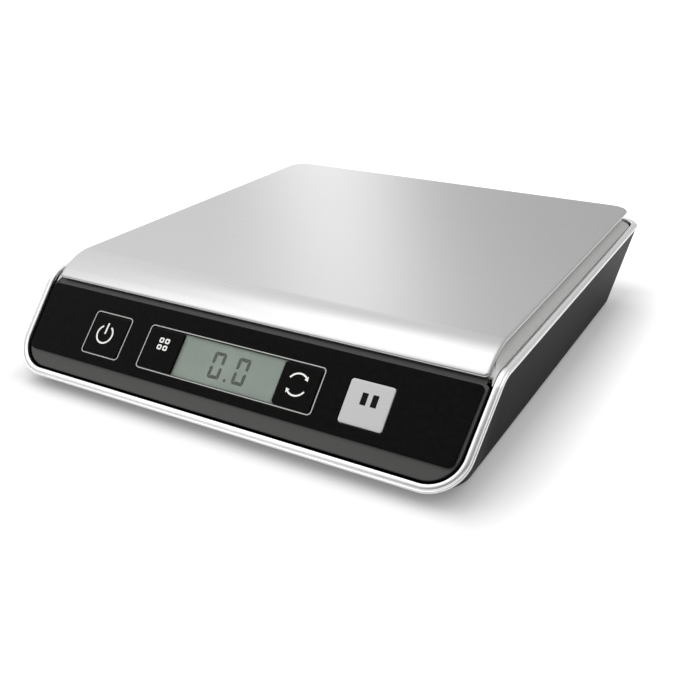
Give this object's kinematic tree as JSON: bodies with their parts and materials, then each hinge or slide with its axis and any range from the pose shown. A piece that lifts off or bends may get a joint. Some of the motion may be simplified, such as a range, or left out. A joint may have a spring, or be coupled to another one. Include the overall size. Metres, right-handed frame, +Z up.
{
  "type": "digital postal scale",
  "caption": "Digital postal scale: square satin steel platform on a low black base with a bright rim and a sloping front panel with a display and press keys.",
  "frame": {"origin": "centre of the footprint, on the surface the scale stands on", "axes": "+X to the right of someone reading the display, -Y the front, +Z up"},
  "size_m": [0.2156, 0.2322, 0.046],
  "materials": {
    "aluminium": "milled",
    "battery_label": "printed sleeve, dark blue",
    "black_plastic": "black, lightly textured",
    "black_wire": "black insulation",
    "bright_chrome": "bright satin chrome on plastic",
    "brushed_steel": "satin steel, brushed across its width",
    "clear_acrylic": "clear",
    "dark_grey_plastic": "dark grey, lightly textured",
    "gloss_black": "polished black",
    "green_board": "green solder mask",
    "grey_cable": "grey sheath",
    "grey_rubber": "matte dark grey",
    "lcd_glass": "grey-green reflective display",
    "red_wire": "red insulation",
    "silver_key": "satin silver paint",
    "silver_paint": "satin silver-grey paint on plastic",
    "white_plastic": "plain white",
    "zinc_steel": "zinc plated"
  },
  "bodies": {
    "base": {"base_bolt_1": "zinc_steel", "base_bolt_2": "zinc_steel", "base_housing": "black_plastic", "battery_1": "battery_label", "battery_2": "battery_label", "battery_3": "battery_label", "battery_lead_black": "black_wire", "battery_lead_red": "red_wire", "battery_plate_1": "zinc_steel", "battery_plate_2": "zinc_steel", "battery_plate_3": "zinc_steel", "battery_spring_1": "zinc_steel", "battery_spring_2": "zinc_steel", "battery_spring_3": "zinc_steel", "board_screw_1": "zinc_steel", "board_screw_2": "zinc_steel", "board_screw_3": "zinc_steel", "board_screw_4": "zinc_steel", "case_screw_1": "zinc_steel", "case_screw_2": "zinc_steel", "case_screw_3": "zinc_steel", "case_screw_4": "zinc_steel", "front_fascia": "dark_grey_plastic", "hold_switch": "black_wire", "lcd_connector_strip": "grey_rubber", "lcd_glass": "lcd_glass", "lcd_holder": "white_plastic", "lcd_window": "clear_acrylic", "load_cell": "aluminium", "load_cell_base_spacer": "aluminium", "load_cell_cable": "grey_cable", "main_circuit_board": "green_board", "panel_overlay": "gloss_black", "power_switch": "black_wire", "rubber_foot_1": "grey_rubber", "rubber_foot_2": "grey_rubber", "rubber_foot_3": "grey_rubber", "rubber_foot_4": "grey_rubber", "silver_frame": "silver_paint", "tare_switch": "black_wire", "trim_rim": "bright_chrome", "units_switch": "black_wire", "usb_board": "green_board", "usb_cable": "grey_cable", "usb_socket": "zinc_steel"},
    "platform": {"platform_cover": "brushed_steel", "platform_tray": "black_plastic", "cover_pad_1": "grey_rubber", "cover_pad_2": "grey_rubber", "cover_pad_3": "grey_rubber", "cover_pad_4": "grey_rubber", "load_cell_top_spacer": "aluminium", "platform_bolt_1": "zinc_steel", "platform_bolt_2": "zinc_steel"},
    "power_key": {"power_key": "gloss_black"},
    "tare_key": {"tare_key": "gloss_black"},
    "units_key": {"units_key": "gloss_black"},
    "hold_key": {"hold_key": "silver_key"},
    "battery_door": {"battery_door": "black_plastic"}
  },
  "joints": [
    {"name": "platform_press", "type": "slide", "parent": "base", "child": "platform", "axis": [0, 0, -1], "range_m": [0, 0.0008], "stiffness_N_per_m": 100000, "springref_m": -0.00004, "deforming": ["load_cell"]},
    {"name": "power_key_press", "type": "slide", "parent": "base", "child": "power_key", "axis": [0, 0.7193, -0.6947], "range_m": [0, 0.0004], "stiffness_N_per_m": 400, "springref_m": -0.001},
    {"name": "tare_key_press", "type": "slide", "parent": "base", "child": "tare_key", "axis": [0, 0.7193, -0.6947], "range_m": [0, 0.0004], "stiffness_N_per_m": 400, "springref_m": -0.001},
    {"name": "units_key_press", "type": "slide", "parent": "base", "child": "units_key", "axis": [0, 0.7193, -0.6947], "range_m": [0, 0.0004], "stiffness_N_per_m": 400, "springref_m": -0.001},
    {"name": "hold_key_press", "type": "slide", "parent": "base", "child": "hold_key", "axis": [0, 0.7193, -0.6947], "range_m": [0, 0.0004], "stiffness_N_per_m": 400, "springref_m": -0.001},
    {"name": "battery_door_slide", "type": "slide", "parent": "base", "child": "battery_door", "axis": [0, 1, 0], "range_m": [0, 0.007]}
  ]
}
